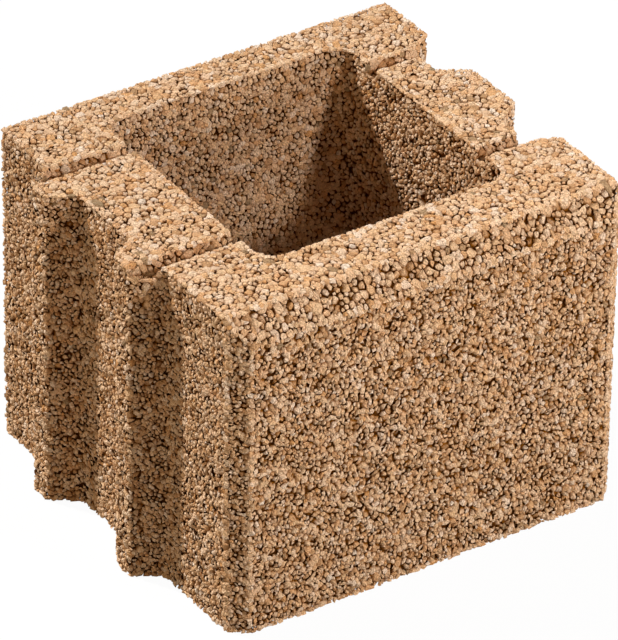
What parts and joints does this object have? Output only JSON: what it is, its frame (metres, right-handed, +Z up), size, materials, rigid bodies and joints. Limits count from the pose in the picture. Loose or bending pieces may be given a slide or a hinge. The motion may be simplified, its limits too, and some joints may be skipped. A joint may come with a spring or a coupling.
{
  "type": "hollow concrete block",
  "caption": "Hollow half block of open-textured tan concrete with a through cell, tongue and groove ends, a bevelled face edge and core bar slots across the webs.",
  "frame": {"origin": "middle of the bounding box on the underside, tongues included", "axes": "+X along the face from the tongue end to the groove end, +Y from the bevelled face to the back, +Z up"},
  "size_m": [0.266, 0.233, 0.197],
  "materials": {
    "concrete": "rough open-textured tan aggregate concrete, unpainted"
  },
  "bodies": {
    "root": {"hollow_block": "concrete"}
  },
  "joints": []
}
